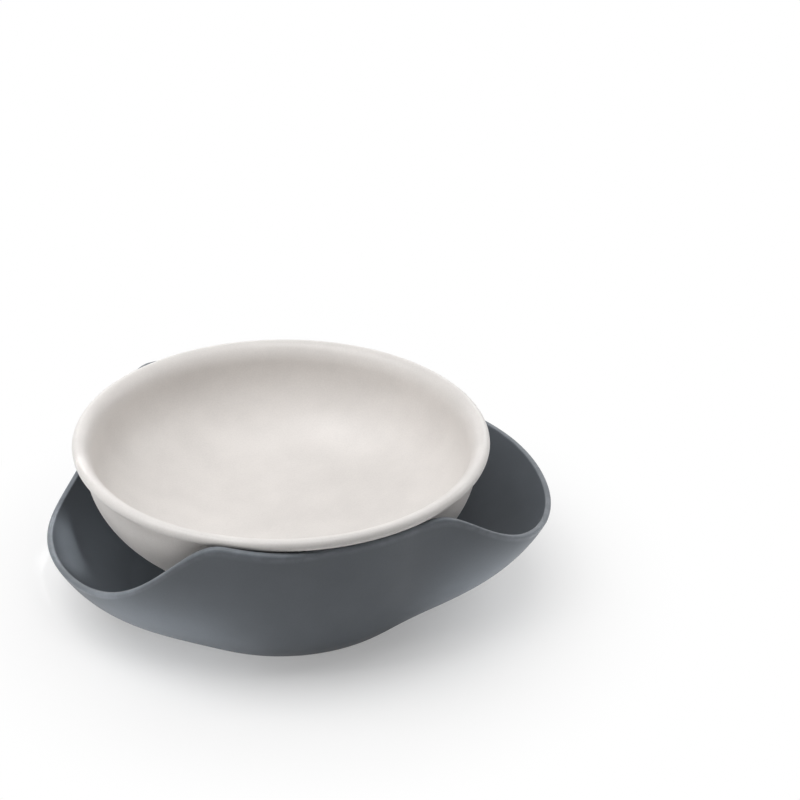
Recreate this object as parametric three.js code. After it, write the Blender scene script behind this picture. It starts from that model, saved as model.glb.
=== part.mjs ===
// Two-tier snack bowl: a round serving bowl hangs by its rim in a lobed dish that takes stones and shells.
// Millimetres, +Z up. The origin is on the table, under the middle of the dish's length.
import * as THREE from 'three';

// Serving bowl
const rimDiameter = 164.4;
const beadThickness = 4.4;
const bowlHeight = 50;
const bowlWall = 3;
const bowlFloor = 3;
const bowlFootRadius = 34;
const neckHeight = 6; // from the bead's middle down to where the wall starts to curve in
const rimRollDepth = 8; // from the rim's top down to where its rounding meets the inner wall
const insideFullness = 2.3; // 2 is an ellipse, more is squarer

// Dish
const seatHeight = 62.6; // table to the top of the lip where the bowl's bead rests on it
const dishWall = 2.5;
const dishFloor = 2.6;
const baseRadius = 56.5;
const sideBelly = 0.26; // 0 is a straight wall, 0.5 a full quarter round
const lobeBelly = 0.22;
const floorCorner = 4; // width of the inside corner between floor and wall
const cornerShare = 0.1; // how far up the wall that corner reaches
const lipRoundShare = 0.8; // of the wall's thickness, taken by the rounding of the level lip's outer edge
const lipBevelShare = 0.14; // of the wall's thickness, taken by the bevel on its inner edge
const longLobe = {
  reach: 108, // bowl axis to the outside of the wall's end
  lipHeight: 37,
  planHalfAngle: 66.5, // degrees from the lobe's middle to where it leaves the round seat
  planFullness: 1.7, // more is a blunter lobe seen from above
  dipHalfAngle: 58, // degrees from the lobe's middle to where the lip starts to dip
  dipFullness: 2.45, // more is a wider, flatter dip in the lip
};
const shortLobe = {
  reach: 94,
  lipHeight: 28,
  planHalfAngle: 61,
  planFullness: 0.98,
  dipHalfAngle: 62.5,
  dipFullness: 2,
};

// Towards the short lobe the lip rolls out from under the bead and stands up beside it
const wrapAngle = 100; // degrees round the bead's section
const wrapHalfAngle = 92;
const wrapFullness = 3;
const wrapGap = 0.8; // added to the seat's gap there, because the lip's inner edge faces the bead

// Feet, the same on both pieces
const footRecess = 0.8;
const footWidth = 5;

// Clearances
const seatGap = 0.3; // bead underside over the dish's lip
const neckGap = 1.1; // bowl neck inside the dish's lip

// Facets
const facetsRound = 80;
const facetsWall = 9;
const facetsEdge = 6;

// Sizes worked out
const lipRound = lipRoundShare * dishWall;
const lipBevel = lipBevelShare * dishWall;
const beadRadius = beadThickness / 2;
const beadCircle = rimDiameter / 2 - beadRadius;
const beadMiddle = bowlHeight - beadRadius;
const beadUnderside = bowlHeight - beadThickness;
const neckRadius = beadCircle - dishWall / 2 - neckGap;
const bowlLift = seatHeight + seatGap - beadUnderside;
const bowlAxisX = (shortLobe.reach - longLobe.reach) / 2;

// count + 1 points at equal steps of a share that runs from one value to another
function trace(from, to, count, pointAt) {
  return Array.from({ length: count + 1 }, (_, step) => pointAt(from + (to - from) * step / count));
}

function arc(centreR, centreZ, sizeR, sizeZ, fromDegrees, toDegrees, count) {
  return trace(fromDegrees, toDegrees, count, (degrees) => {
    const angle = THREE.MathUtils.degToRad(degrees);
    return [centreR + sizeR * Math.cos(angle), centreZ + sizeZ * Math.sin(angle)];
  });
}

// Ring foot with a shallow recess inside it, from the axis out to the foot's edge
function footSection(edgeRadius) {
  const ringInside = edgeRadius - footWidth;
  return [[0, footRecess], [ringInside - footRecess, footRecess], [ringInside, 0], [edgeRadius, 0]];
}

// Half section of the bowl, from the axis below, round the rim, to the axis inside
function bowlSection() {
  const widest = beadMiddle - neckHeight;
  const footAngle = Math.acos(bowlFootRadius / neckRadius);
  const wallDepth = widest / Math.sin(footAngle);
  const footDegrees = THREE.MathUtils.radToDeg(footAngle);
  const insideRadius = neckRadius - bowlWall;
  const insideTop = bowlHeight - rimRollDepth;
  const insideDepth = insideTop - bowlFloor;
  const inside = trace(0, Math.PI / 2, facetsWall, (angle) => [
    insideRadius * Math.abs(Math.cos(angle)) ** (2 / insideFullness),
    insideTop - insideDepth * Math.sin(angle) ** (2 / insideFullness),
  ]);
  inside.at(-1)[0] = 0;
  return [
    ...footSection(bowlFootRadius),
    ...arc(0, widest, neckRadius, wallDepth, -footDegrees, 0, facetsWall).slice(1),
    ...arc(neckRadius + neckGap, beadUnderside - neckGap, neckGap, neckGap, 180, 90, facetsEdge / 2),
    ...arc(beadCircle, beadMiddle, beadRadius, beadRadius, -90, 90, facetsEdge),
    ...arc(beadCircle, insideTop, beadCircle - insideRadius, rimRollDepth, 90, 180, facetsEdge).slice(1),
    ...inside.slice(1),
  ];
}

// 1 on a lobe's middle line, falling smoothly to 0 at its edge, with both angles in degrees
function lobeShare(fromMiddle, halfAngle, fullness) {
  const share = Math.min(fromMiddle / halfAngle, 1) ** fullness;
  return 0.5 + 0.5 * Math.cos(Math.PI * share);
}

// Middle of the wall's end below the lip in one direction, given in degrees from the long lobe's middle
function lipMiddle(fromLong) {
  const half = dishWall / 2;
  const fromShort = 180 - fromLong;
  const wrap = THREE.MathUtils.degToRad(wrapAngle * lobeShare(fromShort, wrapHalfAngle, wrapFullness));
  const beadToLip = beadRadius + seatGap + half;
  const apart = beadToLip + wrapGap * Math.sin(wrap);
  const middle = new THREE.Vector2(
    beadCircle + apart * Math.sin(wrap),
    seatHeight - half + beadToLip - apart * Math.cos(wrap));
  const seat = middle.clone();
  for (const [lobe, fromMiddle] of [[longLobe, fromLong], [shortLobe, fromShort]]) {
    const out = lobeShare(fromMiddle, lobe.planHalfAngle, lobe.planFullness);
    const down = lobeShare(fromMiddle, lobe.dipHalfAngle, lobe.dipFullness);
    middle.x += (lobe.reach - half - seat.x) * out;
    middle.y += (lobe.lipHeight - half - seat.y) * down;
  }
  return middle;
}

// Half section of the dish in one direction, from the axis below, over the lip, to the axis inside
function dishSection(angle) {
  const half = dishWall / 2;
  const fromLong = THREE.MathUtils.radToDeg(Math.acos(Math.cos(angle)));
  const belly = sideBelly + (lobeBelly - sideBelly) * Math.cos(angle) ** 2;

  // Middle line of the wall
  const foot = new THREE.Vector2(baseRadius, half);
  const lip = lipMiddle(fromLong);
  const rise = lip.clone().sub(foot);
  const handle = new THREE.Vector2(foot.x + rise.x * (0.5 + belly), foot.y + rise.y * (0.5 - belly));
  const middle = new THREE.QuadraticBezierCurve(foot, handle, lip);
  const beside = (share, distance) => {
    const point = middle.getPoint(share);
    const along = middle.getTangent(share);
    return [point.x + along.y * distance, point.y - along.x * distance];
  };

  // The lip is cut level, rounded outside and bevelled inside
  const upward = middle.getTangent(1);
  const levelCorner = (distance) => {
    const [radius, height] = beside(1, distance);
    const missing = lip.y + half - height;
    return new THREE.Vector2(radius + missing * upward.x / upward.y, lip.y + half);
  };
  const outerCorner = levelCorner(half);
  const innerCorner = levelCorner(-half);
  const rounding = new THREE.QuadraticBezierCurve(
    outerCorner.clone().addScaledVector(upward, -lipRound),
    outerCorner,
    new THREE.Vector2(outerCorner.x - lipRound, outerCorner.y));
  return [
    ...footSection(baseRadius),
    ...trace(0, 1, facetsWall, (share) => beside(share, half)).slice(0, -1),
    ...rounding.getPoints(facetsEdge / 2).map((point) => point.toArray()),
    [innerCorner.x + lipBevel, innerCorner.y],
    innerCorner.clone().addScaledVector(upward, -lipBevel).toArray(),
    ...trace(1, cornerShare, facetsWall, (share) => beside(share, -half)).slice(1),
    [baseRadius - floorCorner, dishFloor],
    [0, dishFloor],
  ];
}

// Closed solid swept round the axis: the first and last points of every half section lie on the axis
function sweepRound(sectionAt) {
  const angles = Array.from({ length: facetsRound }, (_, step) => 2 * Math.PI * step / facetsRound);
  const sections = angles.map(sectionAt);
  const rings = sections[0].length - 2;
  const bottom = facetsRound * rings;
  const top = bottom + 1;
  const positions = [];
  const faces = [];
  sections.forEach((section, step) => {
    const angle = angles[step];
    for (const [radius, height] of section.slice(1, -1)) {
      positions.push(radius * Math.cos(angle), radius * Math.sin(angle), height);
    }
    const here = step * rings;
    const next = (step + 1) % facetsRound * rings;
    faces.push(bottom, next, here);
    for (let ring = 0; ring < rings - 1; ring += 1) {
      faces.push(here + ring, next + ring, next + ring + 1);
      faces.push(here + ring, next + ring + 1, here + ring + 1);
    }
    faces.push(top, here + rings - 1, next + rings - 1);
  });
  positions.push(0, 0, sections[0][0][1]);
  positions.push(0, 0, sections[0].at(-1)[1]);
  const geometry = new THREE.BufferGeometry();
  geometry.setAttribute('position', new THREE.Float32BufferAttribute(positions, 3));
  geometry.setIndex(faces);
  geometry.computeVertexNormals();
  return geometry;
}

const lightGrey = new THREE.MeshStandardMaterial({ color: 0xd6d2cd, roughness: 0.45, metalness: 0 });
const slateGrey = new THREE.MeshStandardMaterial({ color: 0x646a70, roughness: 0.5, metalness: 0 });

const lowerDish = new THREE.Mesh(sweepRound(dishSection), slateGrey);
lowerDish.name = 'lower_dish';

const upperBowl = new THREE.Mesh(sweepRound(bowlSection), lightGrey);
upperBowl.name = 'upper_bowl';
upperBowl.position.z = bowlLift;

const snackBowl = new THREE.Group();
snackBowl.position.x = bowlAxisX;
snackBowl.add(lowerDish, upperBowl);

export default snackBowl;
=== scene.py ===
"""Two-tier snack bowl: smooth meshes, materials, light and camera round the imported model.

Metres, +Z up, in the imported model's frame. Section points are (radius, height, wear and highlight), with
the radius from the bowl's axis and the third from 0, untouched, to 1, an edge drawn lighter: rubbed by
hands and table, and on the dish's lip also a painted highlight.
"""

import math

import bpy
from mathutils import Matrix, Vector


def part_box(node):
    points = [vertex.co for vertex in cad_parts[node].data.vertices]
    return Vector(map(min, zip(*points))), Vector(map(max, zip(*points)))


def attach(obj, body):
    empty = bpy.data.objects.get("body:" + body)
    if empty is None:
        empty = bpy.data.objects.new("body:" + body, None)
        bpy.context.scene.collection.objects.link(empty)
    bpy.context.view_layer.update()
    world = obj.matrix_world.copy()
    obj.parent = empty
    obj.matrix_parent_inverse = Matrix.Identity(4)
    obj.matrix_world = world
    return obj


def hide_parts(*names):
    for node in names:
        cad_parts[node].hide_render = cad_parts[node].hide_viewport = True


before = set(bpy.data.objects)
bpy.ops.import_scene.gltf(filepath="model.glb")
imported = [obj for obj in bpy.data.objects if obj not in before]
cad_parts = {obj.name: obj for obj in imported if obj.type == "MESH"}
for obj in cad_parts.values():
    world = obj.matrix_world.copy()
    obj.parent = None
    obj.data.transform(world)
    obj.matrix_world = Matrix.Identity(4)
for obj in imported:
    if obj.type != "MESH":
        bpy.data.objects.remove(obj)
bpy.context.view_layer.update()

# Sizes read from the frame
bowl_low, bowl_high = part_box("upper_bowl")
AXIS_X = (bowl_low.x + bowl_high.x) / 2
RIM_RADIUS = (bowl_high.x - bowl_low.x) / 2
BOWL_BOTTOM = bowl_low.z
BOWL_HEIGHT = bowl_high.z - bowl_low.z

# Serving bowl
BEAD_RADIUS = 0.0022
BOWL_WALL = 0.003
BOWL_FLOOR = 0.003
BOWL_FOOT = 0.034
NECK_HEIGHT = 0.006  # from the bead's middle down to where the wall starts to curve in
RIM_ROLL = 0.008  # from the rim's top down to where its rounding meets the inner wall
INSIDE_FULLNESS = 2.3  # 2 is an ellipse, more is squarer

# Dish
DISH_WALL = 0.0025
DISH_FLOOR = 0.0026
DISH_BASE = 0.0565
SIDE_BELLY = 0.26  # 0 is a straight wall, 0.5 a full quarter round
LOBE_BELLY = 0.22
LIP_ROUND = 0.8 * DISH_WALL  # rounding of the level lip's outer edge
LIP_EDGE = 0.14 * DISH_WALL  # rounding of its inner edge
FLOOR_CORNER = 0.004  # width of the inside corner between floor and wall
CORNER_SHARE = 0.1  # how far up the wall that corner reaches
LONG_LOBE = {
    "reach": 0.108,  # bowl axis to the outside of the wall's end
    "lip_height": 0.037,
    "plan_half_angle": 66.5,  # degrees from the lobe's middle to where it leaves the round seat
    "plan_fullness": 1.7,  # more is a blunter lobe seen from above
    "dip_half_angle": 58,  # degrees from the lobe's middle to where the lip starts to dip
    "dip_fullness": 2.45,  # more is a wider, flatter dip in the lip
}
SHORT_LOBE = {
    "reach": 0.094,
    "lip_height": 0.028,
    "plan_half_angle": 61,
    "plan_fullness": 0.98,
    "dip_half_angle": 62.5,
    "dip_fullness": 2,
}

# Towards the short lobe the lip rolls out from under the bead and stands up beside it
WRAP_ANGLE = 100  # degrees round the bead's section
WRAP_HALF_ANGLE = 92  # degrees from the short lobe's middle to where the rolling out starts
WRAP_FULLNESS = 3
WRAP_GAP = 0.0008  # added to the seat's gap there, because the lip's inner edge faces the bead

# Feet and fits
FOOT_RECESS = 0.0008
FOOT_WIDTH = 0.005
SOFT_EDGE = 0.0006  # rounding of the moulded corners under the pieces
SEAT_GAP = 0.0003  # bead underside over the dish's lip
NECK_GAP = 0.0011  # bowl neck inside the dish's lip

# Mesh fineness
ROUND_STEPS = 240
WALL_STEPS = 36
EDGE_STEPS = 16
FLOOR_STEPS = 8

# Plastic, with each noise as its cells in a metre and its detail
MOTTLE_NOISE = (60, 3)
SPECKLE_NOISE = (1600, 2)
RUB_AND_HIGHLIGHT_NOISE = (220, 4)
SMUDGE_NOISE = (45, 5)
GRAIN_NOISE = (2600, 3)
WHOLE_RANGE = (0, 1)
NOISE_RANGE = (0.3, 0.7)  # where most of a noise's values lie
MOTTLE_RANGE = (0.965, 1.035)  # times the colour
SPECKLE_RANGE = (0.975, 1.025)  # times the colour
RUB_AND_HIGHLIGHT_NOISE_RANGE = (0.42, 0.62)  # the part of its noise that makes the patches
RUB_AND_HIGHLIGHT_RANGE = (0.5, 1.0)  # times the wear and highlight mask
SMUDGE_SMOOTHER = 0.05  # taken from the roughness
SMUDGE_ROUGHER = 0.06  # added to the roughness
WORN_AND_HIGHLIGHT_SHARE = 0.6  # of the worn and highlight colour where the mask is full: on rubbed edges, and on the dish's lip, where it is a painted highlight
WORN_POLISH = 0.8  # times the roughness, on an edge rubbed all over
GRAIN_STRENGTH = 0.5

# Floor
FLOOR_SIZE = 12.0
FLOOR_WHITE = 0.95
CLEAR_RANGE = (0.05, 0.16)  # distances from the origin between which the floor goes over to plain white
PLAIN_RANGE = (0.3, 1.0)  # share of plain white at those distances

# Camera, set by where the middle of the bowl's rim lies in the photograph
IMAGE_SIZE = 800  # pixels
FOCAL_PIXELS = 2300
SENSOR_WIDTH = 36  # millimetres
CAMERA_AZIMUTH = -13  # degrees, as are the next two
CAMERA_ELEVATION = 29.569
CAMERA_ROLL = -0.628
CAMERA_DISTANCE = 0.909477
RIM_PIXEL = (281.752, 437.403)

# Light
WORLD_LIGHT = 0.05  # strength of the world as a lamp
WORLD_SEEN = 1.0  # its strength as the camera and reflections see it
LONG_FLANK = Vector((0.07, -0.055, 0.018))
SHORT_FLANK = Vector((-0.075, -0.05, 0.014))
SHORT_HOLLOW = Vector((-0.0936, 0.01, 0.022))
FLANK_STRIP = {"distance": 0.45, "width": 0.05, "height": 0.03, "spread": 8}

# Sizes worked out
BEAD_CIRCLE = RIM_RADIUS - BEAD_RADIUS
BEAD_MIDDLE = BOWL_HEIGHT - BEAD_RADIUS
BEAD_UNDERSIDE = BOWL_HEIGHT - 2 * BEAD_RADIUS
SEAT_HEIGHT = BOWL_BOTTOM + BEAD_UNDERSIDE - SEAT_GAP
NECK_RADIUS = BEAD_CIRCLE - DISH_WALL / 2 - NECK_GAP
RIM_MIDDLE = Vector((AXIS_X, 0, BOWL_BOTTOM + BEAD_MIDDLE))


# Section helpers

def trace(start, end, count, point_at):
    """count + 1 points at equal steps of a share that runs from start to end."""
    return [point_at(start + (end - start) * step / count) for step in range(count + 1)]


def arc(centre, size, start, end, count, wear=0.0):
    """Part of an ellipse, with its angles in degrees."""
    return trace(start, end, count, lambda degrees: (
        centre[0] + size[0] * math.cos(math.radians(degrees)),
        centre[1] + size[1] * math.sin(math.radians(degrees)),
        wear))


def line(start, end, count):
    """count + 1 points from one section point straight to another."""
    return trace(0, 1, count, lambda share: tuple(Vector(start).lerp(Vector(end), share)))


def soft_corner(before, corner, after, size, wear=0.0):
    """A rounded corner, starting and ending at the given distance from the sharp one."""
    before, corner, after = (Vector(point[:2]) for point in (before, corner, after))
    start = corner + (before - corner).normalized() * size
    end = corner + (after - corner).normalized() * size

    def point_at(share):
        point = start.lerp(corner, share).lerp(corner.lerp(end, share), share)
        return (point.x, point.y, wear)

    return trace(0, 1, EDGE_STEPS // 2, point_at)


def foot_section(edge_radius):
    """Ring foot with a shallow recess inside it, from the axis out to the foot's flat."""
    ring_inside = edge_radius - FOOT_WIDTH
    middle = (0.0, FOOT_RECESS)
    top = (ring_inside - FOOT_RECESS, FOOT_RECESS)
    ring = (ring_inside, 0.0)
    edge = (edge_radius, 0.0)
    return [
        *line((*middle, 0.0), (top[0] - SOFT_EDGE, FOOT_RECESS, 0.0), FLOOR_STEPS),
        *soft_corner(middle, top, ring, SOFT_EDGE / 2),
        *soft_corner(top, ring, edge, SOFT_EDGE / 2, wear=1.0),
    ]


# Sections of the two pieces

def bowl_section():
    """Half section of the bowl, from the axis below, round the rim, to the axis inside, above its foot."""
    widest = BEAD_MIDDLE - NECK_HEIGHT
    foot_angle = math.acos(BOWL_FOOT / NECK_RADIUS)
    wall_depth = widest / math.sin(foot_angle)
    wall = arc((0, widest), (NECK_RADIUS, wall_depth), -math.degrees(foot_angle), 0, WALL_STEPS)
    inside_radius = NECK_RADIUS - BOWL_WALL
    inside_top = BOWL_HEIGHT - RIM_ROLL
    inside_depth = inside_top - BOWL_FLOOR
    power = 2 / INSIDE_FULLNESS
    neck_turn = (NECK_RADIUS + NECK_GAP, BEAD_UNDERSIDE - NECK_GAP)

    def inside_at(angle):
        across = max(math.cos(angle), 0.0) ** power
        down = math.sin(angle) ** power
        return (inside_radius * across, inside_top - inside_depth * down, 0.0)

    return [
        *foot_section(BOWL_FOOT),
        *soft_corner((0, 0), wall[0], wall[1], SOFT_EDGE, wear=1.0),
        *wall[1:],
        *arc(neck_turn, (NECK_GAP, NECK_GAP), 180, 90, EDGE_STEPS // 2),
        *arc((BEAD_CIRCLE, BEAD_MIDDLE), (BEAD_RADIUS, BEAD_RADIUS), -90, 90, EDGE_STEPS, wear=1.0)[1:],
        *arc((BEAD_CIRCLE, inside_top), (BEAD_CIRCLE - inside_radius, RIM_ROLL), 90, 180, EDGE_STEPS)[1:],
        *trace(0, math.pi / 2, WALL_STEPS, inside_at)[1:],
    ]


def lobe_share(from_middle, half_angle, fullness):
    """1 on a lobe's middle line, falling smoothly to 0 at its edge, with both angles in degrees."""
    share = min(from_middle / half_angle, 1) ** fullness
    return 0.5 + 0.5 * math.cos(math.pi * share)


def lip_middle(from_long):
    """Middle of the wall's end below the lip in one direction, in degrees from the long lobe's middle."""
    half = DISH_WALL / 2
    from_short = 180 - from_long
    wrap = math.radians(WRAP_ANGLE * lobe_share(from_short, WRAP_HALF_ANGLE, WRAP_FULLNESS))
    bead_to_lip = BEAD_RADIUS + SEAT_GAP + half
    apart = bead_to_lip + WRAP_GAP * math.sin(wrap)
    seat = Vector((
        BEAD_CIRCLE + apart * math.sin(wrap),
        SEAT_HEIGHT - half + bead_to_lip - apart * math.cos(wrap)))
    middle = seat.copy()
    for lobe, from_middle in ((LONG_LOBE, from_long), (SHORT_LOBE, from_short)):
        out = lobe_share(from_middle, lobe["plan_half_angle"], lobe["plan_fullness"])
        down = lobe_share(from_middle, lobe["dip_half_angle"], lobe["dip_fullness"])
        middle.x += (lobe["reach"] - half - seat.x) * out
        middle.y += (lobe["lip_height"] - half - seat.y) * down
    return middle


def dish_section(angle):
    """Half section of the dish in one direction, from the axis below, over the lip, to the axis inside."""
    half = DISH_WALL / 2
    from_long = math.degrees(math.acos(math.cos(angle)))
    belly = SIDE_BELLY + (LOBE_BELLY - SIDE_BELLY) * math.cos(angle) ** 2

    # Middle line of the wall
    foot = Vector((DISH_BASE, half))
    lip = lip_middle(from_long)
    rise = lip - foot
    handle = Vector((foot.x + rise.x * (0.5 + belly), foot.y + rise.y * (0.5 - belly)))

    def direction(share):
        return (handle - foot).lerp(lip - handle, share).normalized()

    def beside(share, distance):
        point = foot.lerp(handle, share).lerp(handle.lerp(lip, share), share)
        along = direction(share)
        return (point.x + along.y * distance, point.y - along.x * distance, 0.0)

    def level_corner(side):
        """Where one side of the wall, carried straight on, reaches the level of the lip's top."""
        end = Vector(beside(1, side)[:2])
        return end + direction(1) * ((lip.y + half - end.y) / direction(1).y)

    outer_corner = level_corner(half)
    inner_corner = level_corner(-half)
    outer_wall = trace(0, 1, WALL_STEPS, lambda share: beside(share, half))
    inner_wall = trace(1, CORNER_SHARE, WALL_STEPS, lambda share: beside(share, -half))
    foot_turn = math.degrees(math.atan2(-direction(0).x, direction(0).y))
    corner = (DISH_BASE - FLOOR_CORNER, DISH_FLOOR)
    floor_edge = (corner[0] - FLOOR_CORNER / 2, DISH_FLOOR, 0.0)
    return [
        *foot_section(DISH_BASE),
        *arc(foot, (half, half), -90, foot_turn, EDGE_STEPS // 2, wear=1.0),
        *outer_wall[1:-1],
        # Full wear on the lip's roundings paints them lighter: rubbing, and a painted highlight along the
        # lip
        *soft_corner(outer_wall[-1], outer_corner, inner_corner, LIP_ROUND, wear=1.0),
        *soft_corner(outer_corner, inner_corner, inner_wall[0], LIP_EDGE, wear=1.0),
        *inner_wall,
        *soft_corner(inner_wall[-1], corner, floor_edge, FLOOR_CORNER / 2),
        *line(floor_edge, (0.0, DISH_FLOOR, 0.0), FLOOR_STEPS)[1:],
    ]


# Objects

def placed(name, data):
    """A new object in the scene."""
    made = bpy.data.objects.new(name, data)
    bpy.context.scene.collection.objects.link(made)
    return made


def sweep_round(name, section_at, bottom):
    """A closed smooth mesh swept round the bowl's axis, whose sections all start and end on the axis."""
    angles = [2 * math.pi * step / ROUND_STEPS for step in range(ROUND_STEPS)]
    sections = [section_at(angle) for angle in angles]
    rings = len(sections[0]) - 2
    bottom_pole = ROUND_STEPS * rings
    top_pole = bottom_pole + 1
    points = []
    wear = []
    faces = []
    for step, (angle, section) in enumerate(zip(angles, sections)):
        for radius, height, rub_and_highlight in section[1:-1]:
            points.append((AXIS_X + radius * math.cos(angle), radius * math.sin(angle), bottom + height))
            wear.append(rub_and_highlight)
        here = step * rings
        beyond = (step + 1) % ROUND_STEPS * rings
        faces.append((bottom_pole, beyond, here))
        for ring in range(rings - 1):
            faces.append((here + ring, beyond + ring, beyond + ring + 1, here + ring + 1))
        faces.append((top_pole, here + rings - 1, beyond + rings - 1))
    for _, height, rub_and_highlight in (sections[0][0], sections[0][-1]):
        points.append((AXIS_X, 0, bottom + height))
        wear.append(rub_and_highlight)
    mesh = bpy.data.meshes.new(name)
    mesh.from_pydata(points, [], faces)
    mesh.attributes.new("wear", "FLOAT", "POINT").data.foreach_set("value", wear)
    mesh.shade_smooth()
    return placed(name, mesh)


# Shader nodes, whose owner is a material or the world

def node(owner, kind, **values):
    """A new shader node, with its inputs and settings given by name."""
    made = owner.node_tree.nodes.new("ShaderNode" + kind)
    for key, value in values.items():
        if key in made.inputs:
            made.inputs[key].default_value = value
        else:
            setattr(made, key, value)
    return made


def ranged(owner, value, from_range, to_range, **settings):
    """A value carried from one range over to another."""
    made = node(owner, "MapRange", **settings)
    owner.node_tree.links.new(value, made.inputs["Value"])
    ends = ("From Min", "From Max", "To Min", "To Max")
    for end, number in zip(ends, (*from_range, *to_range)):
        made.inputs[end].default_value = number
    return made.outputs["Result"]


def combined(owner, operation, first, second):
    """Two values put through one operation, such as MULTIPLY."""
    made = node(owner, "Math", operation=operation)
    owner.node_tree.links.new(first, made.inputs[0])
    owner.node_tree.links.new(second, made.inputs[1])
    return made.outputs["Value"]


def seen_ray(owner):
    """1 for a ray from the camera, from a reflection or through a clear piece, else 0."""
    path = node(owner, "LightPath")
    seen = path.outputs["Is Camera Ray"]
    for kind in ("Is Glossy Ray", "Is Transmission Ray"):
        seen = combined(owner, "MAXIMUM", seen, path.outputs[kind])
    return seen


# Materials

def plastic(name, colour, worn_and_highlight_colour, roughness, sheen, grain_height):
    """Satin plastic: faint mottling, fine grain, handling marks, and edges rubbed lighter and smoother; on
    the dish's lip the lighter colour is also a painted highlight.
    """
    material = bpy.data.materials.new(name)
    material.use_nodes = True
    links = material.node_tree.links
    shader = material.node_tree.nodes["Principled BSDF"]
    shader.inputs["Specular IOR Level"].default_value = sheen
    place = node(material, "TexCoord").outputs["Object"]

    def noise(scale, detail):
        made = node(material, "TexNoise", Scale=scale, Detail=detail)
        links.new(place, made.inputs["Vector"])
        return made.outputs["Fac"]

    # The edge mask: real rubbing, and on the dish's lip a painted highlight as well
    rub_and_highlight = node(material, "Attribute", attribute_name="wear").outputs["Fac"]
    mottle = ranged(material, noise(*MOTTLE_NOISE), NOISE_RANGE, MOTTLE_RANGE)
    speckle = ranged(material, noise(*SPECKLE_NOISE), NOISE_RANGE, SPECKLE_RANGE)
    patches = ranged(material, noise(*RUB_AND_HIGHLIGHT_NOISE), RUB_AND_HIGHLIGHT_NOISE_RANGE, RUB_AND_HIGHLIGHT_RANGE)
    patchy_wear_and_highlight = combined(material, "MULTIPLY", rub_and_highlight, patches)

    # Lighter colour on the masked edges, which on the dish's lip paints its highlight
    worn_and_highlight = node(material, "Mix", data_type="RGBA")
    links.new(ranged(material, patchy_wear_and_highlight, WHOLE_RANGE, (0, WORN_AND_HIGHLIGHT_SHARE)), worn_and_highlight.inputs["Factor"])
    worn_and_highlight.inputs["A"].default_value = (*colour, 1)
    worn_and_highlight.inputs["B"].default_value = (*worn_and_highlight_colour, 1)
    shade = node(material, "VectorMath", operation="SCALE")
    links.new(worn_and_highlight.outputs["Result"], shade.inputs["Vector"])
    links.new(combined(material, "MULTIPLY", mottle, speckle), shade.inputs["Scale"])
    links.new(shade.outputs["Vector"], shader.inputs["Base Color"])

    smudge_range = (roughness - SMUDGE_SMOOTHER, roughness + SMUDGE_ROUGHER)
    smudged = ranged(material, noise(*SMUDGE_NOISE), NOISE_RANGE, smudge_range)
    polish = ranged(material, patchy_wear_and_highlight, WHOLE_RANGE, (1, WORN_POLISH))
    links.new(combined(material, "MULTIPLY", smudged, polish), shader.inputs["Roughness"])

    bump = node(material, "Bump", Strength=GRAIN_STRENGTH, Distance=grain_height)
    links.new(noise(*GRAIN_NOISE), bump.inputs["Height"])
    links.new(bump.outputs["Normal"], shader.inputs["Normal"])
    return material


def floor_material():
    """Matt white that takes the object's shadow, and shows as plain white away from the object."""
    material = bpy.data.materials.new("white_floor")
    material.use_nodes = True
    links = material.node_tree.links
    material.node_tree.nodes.clear()
    matt = node(material, "BsdfDiffuse", Color=(FLOOR_WHITE, FLOOR_WHITE, FLOOR_WHITE, 1))
    plain = node(material, "Emission", Strength=1.0)
    away = node(material, "VectorMath", operation="LENGTH")
    links.new(node(material, "TexCoord").outputs["Object"], away.inputs[0])
    clear = ranged(
        material, away.outputs["Value"], CLEAR_RANGE, PLAIN_RANGE, interpolation_type="SMOOTHSTEP")
    both = node(material, "MixShader")
    links.new(combined(material, "MULTIPLY", seen_ray(material), clear), both.inputs["Fac"])
    links.new(matt.outputs["BSDF"], both.inputs[1])
    links.new(plain.outputs["Emission"], both.inputs[2])
    links.new(both.outputs["Shader"], node(material, "OutputMaterial").inputs["Surface"])
    return material


# Places and lamps

def from_camera_side(bearing, elevation, distance):
    """A place round the rim's middle, by degrees. Bearing 0 is towards the camera, 90 to its right."""
    turn = math.radians(CAMERA_AZIMUTH + bearing)
    rise = math.radians(elevation)
    return RIM_MIDDLE + distance * Vector((
        math.sin(turn) * math.cos(rise), -math.cos(turn) * math.cos(rise), math.sin(rise)))


def softbox(name, bearing, elevation, distance, width, height, power, aim=RIM_MIDDLE, spread=180):
    """A flat lamp that the camera doesn't see, with its power in watts and its spread in degrees."""
    lamp = bpy.data.lights.new(name, "AREA")
    lamp.shape = "RECTANGLE"
    lamp.size = width
    lamp.size_y = height
    lamp.energy = power
    lamp.spread = math.radians(spread)
    made = placed(name, lamp)
    place = from_camera_side(bearing, elevation, distance)
    made.matrix_world = Matrix.LocRotScale(place, (aim - place).to_track_quat("-Z", "Y"), None)
    made.visible_camera = False


# The pieces

dish = sweep_round("dish_shell", dish_section, 0.0)
# Its worn colour is the lip's lit tone, so on the lip it is a painted highlight as well as wear
dish.data.materials.append(plastic(
    "slate_plastic", colour=(0.128, 0.143, 0.161), worn_and_highlight_colour=(0.215, 0.237, 0.263),
    roughness=0.48, sheen=0.35, grain_height=0.00003))
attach(dish, "dish")
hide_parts("lower_dish")

bowl = sweep_round("bowl_shell", lambda _: bowl_section(), BOWL_BOTTOM)
bowl.data.materials.append(plastic(
    "pale_plastic", colour=(0.8, 0.768, 0.741), worn_and_highlight_colour=(0.84, 0.815, 0.79),
    roughness=0.42, sheen=0.5, grain_height=0.00002))
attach(bowl, "bowl")
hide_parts("upper_bowl")

# The floor

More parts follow.
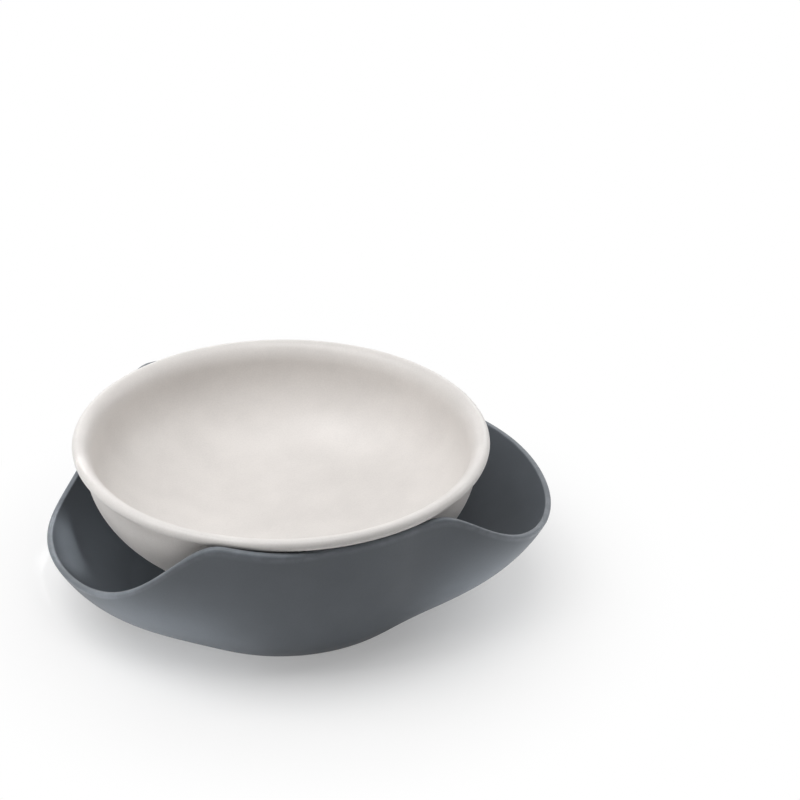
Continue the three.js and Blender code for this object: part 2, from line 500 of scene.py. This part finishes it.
half_floor = FLOOR_SIZE / 2
floor_corners = [(x * half_floor, y * half_floor, 0) for x, y in ((-1, -1), (1, -1), (1, 1), (-1, 1))]
floor_mesh = bpy.data.meshes.new("floor")
floor_mesh.from_pydata(floor_corners, [], [(0, 1, 2, 3)])
floor_mesh.materials.append(floor_material())
floor = placed("floor", floor_mesh)

# The camera, turned so that the rim's middle falls on its pixel

camera_data = bpy.data.cameras.new("camera")
camera_data.sensor_width = SENSOR_WIDTH
camera_data.lens = FOCAL_PIXELS / IMAGE_SIZE * SENSOR_WIDTH
camera = placed("camera", camera_data)
camera_place = from_camera_side(0, CAMERA_ELEVATION, CAMERA_DISTANCE)
aimed = (RIM_MIDDLE - camera_place).to_track_quat("-Z", "Y")
rim_ray = Vector((RIM_PIXEL[0] - IMAGE_SIZE / 2, IMAGE_SIZE / 2 - RIM_PIXEL[1], -FOCAL_PIXELS))
off_centre = Vector((0, 0, -1)).rotation_difference(rim_ray)
rolled = Matrix.Rotation(math.radians(-CAMERA_ROLL), 4, "Z").to_quaternion()
turned = aimed @ (off_centre @ rolled).inverted()
camera.matrix_world = Matrix.LocRotScale(camera_place, turned, None)
bpy.context.scene.camera = camera

# The light

softbox("upper_left", bearing=-80, elevation=58, distance=0.6, width=0.4, height=0.4, power=1.95)
softbox("left_low", bearing=-70, elevation=8, distance=0.45, width=0.25, height=0.2, power=0.12)
softbox("right", bearing=105, elevation=28, distance=0.45, width=0.28, height=0.28, power=0.46)
softbox("behind", bearing=180, elevation=22, distance=1.2, width=1.4, height=0.5, power=2.7)
softbox("above", bearing=0, elevation=85, distance=1.1, width=0.8, height=0.6, power=4.4)

# Narrow strips that pick out the flanks of the lobes and the inside of the short one
softbox("long_flank", bearing=50, elevation=-5, power=0.006, aim=LONG_FLANK, **FLANK_STRIP)
softbox("short_flank", bearing=-50, elevation=-5, power=0.006, aim=SHORT_FLANK, **FLANK_STRIP)
softbox("short_hollow", bearing=-18.7, elevation=52.8, distance=0.272, width=0.006, height=0.03,
        power=0.0012, aim=SHORT_HOLLOW, spread=3.5)

world = bpy.data.worlds.new("studio")
world.use_nodes = True
bpy.context.scene.world = world
world_light = world.node_tree.nodes["Background"]
world_light.inputs["Color"].default_value = (1, 1, 1, 1)
world_strength = ranged(world, seen_ray(world), WHOLE_RANGE, (WORLD_LIGHT, WORLD_SEEN))
world.node_tree.links.new(world_strength, world_light.inputs["Strength"])

bpy.context.scene.view_settings.view_transform = "Standard"
